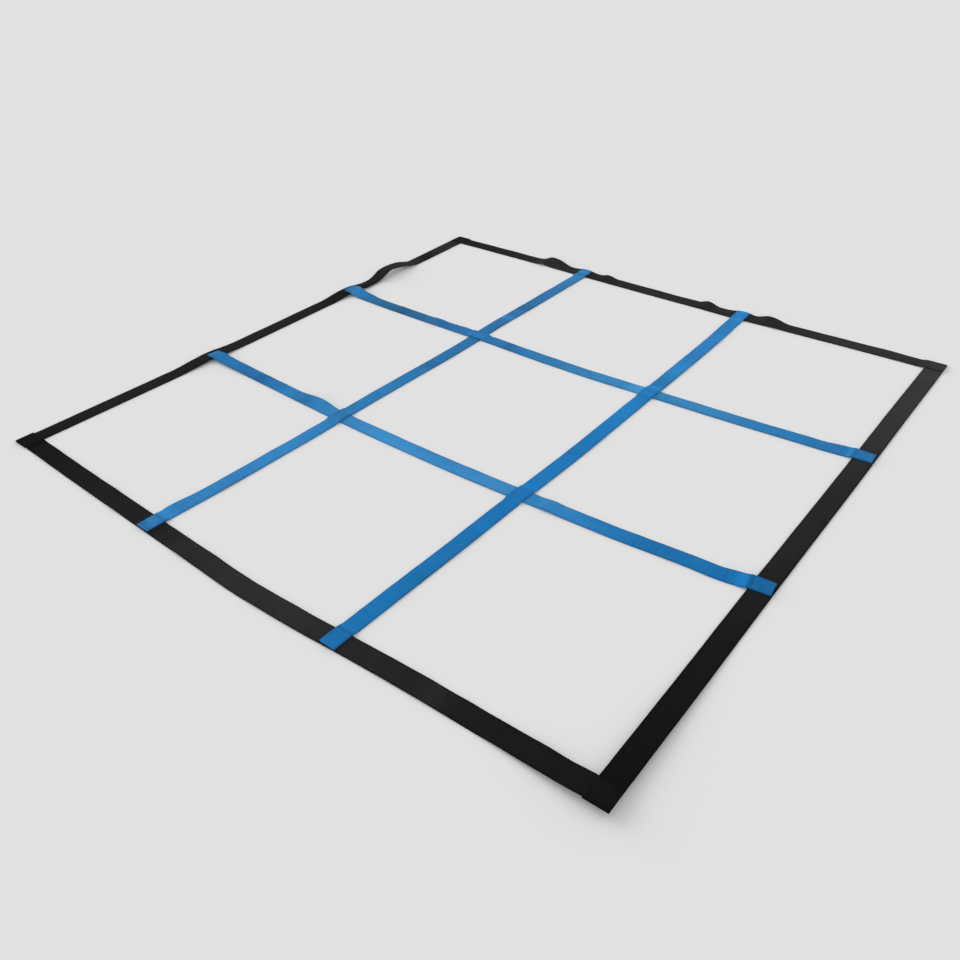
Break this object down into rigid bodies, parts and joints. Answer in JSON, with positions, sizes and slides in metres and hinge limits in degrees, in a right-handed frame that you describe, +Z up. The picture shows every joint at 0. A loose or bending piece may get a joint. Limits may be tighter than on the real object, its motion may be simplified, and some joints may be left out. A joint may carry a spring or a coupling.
{
  "type": "agility grid",
  "caption": "Flat agility training grid of sewn webbing: a black border with blue dividers that mark out open squares, and outer thirds that fold over for storage.",
  "frame": {"origin": "centre of the grid, on the surface that it lies on", "axes": "+Z up; +X along the near border strap, from the left border to the right; +Y from the near border to the far border"},
  "size_m": [1.5003, 1.5355, 0.018],
  "materials": {
    "black_webbing": "woven, low sheen",
    "blue_webbing": "woven, low sheen",
    "black_thread": "twisted thread",
    "blue_thread": "twisted thread"
  },
  "bodies": {
    "centre": {"near_border_middle": "black_webbing", "far_border_middle": "black_webbing", "near_divider_middle": "blue_webbing", "far_divider_middle": "blue_webbing", "left_divider": "blue_webbing", "right_divider": "blue_webbing", "left_divider_near_seam": "blue_thread", "left_divider_far_seam": "blue_thread", "right_divider_near_seam": "blue_thread", "right_divider_far_seam": "blue_thread", "near_left_crossing_seam": "blue_thread", "far_left_crossing_seam": "blue_thread", "near_right_crossing_seam": "blue_thread", "far_right_crossing_seam": "blue_thread"},
    "left_panel": {"left_border": "black_webbing", "near_border_left": "black_webbing", "far_border_left": "black_webbing", "near_divider_left": "blue_webbing", "far_divider_left": "blue_webbing", "near_left_corner_seam": "black_thread", "far_left_corner_seam": "black_thread", "near_divider_left_seam": "blue_thread", "far_divider_left_seam": "blue_thread"},
    "right_panel": {"right_border": "black_webbing", "near_border_right": "black_webbing", "far_border_right": "black_webbing", "near_divider_right": "blue_webbing", "far_divider_right": "blue_webbing", "near_right_corner_seam": "black_thread", "far_right_corner_seam": "black_thread", "near_divider_right_seam": "blue_thread", "far_divider_right_seam": "blue_thread"}
  },
  "joints": [
    {"name": "left_fold", "type": "hinge", "parent": "centre", "child": "left_panel", "pos_m": [-0.29, 0, 0.0105], "axis": [0, 1, 0], "range_deg": [0, 179.9]},
    {"name": "right_fold", "type": "hinge", "parent": "centre", "child": "right_panel", "pos_m": [0.29, 0, 0.018], "axis": [0, -1, 0], "range_deg": [0, 179.9]}
  ]
}
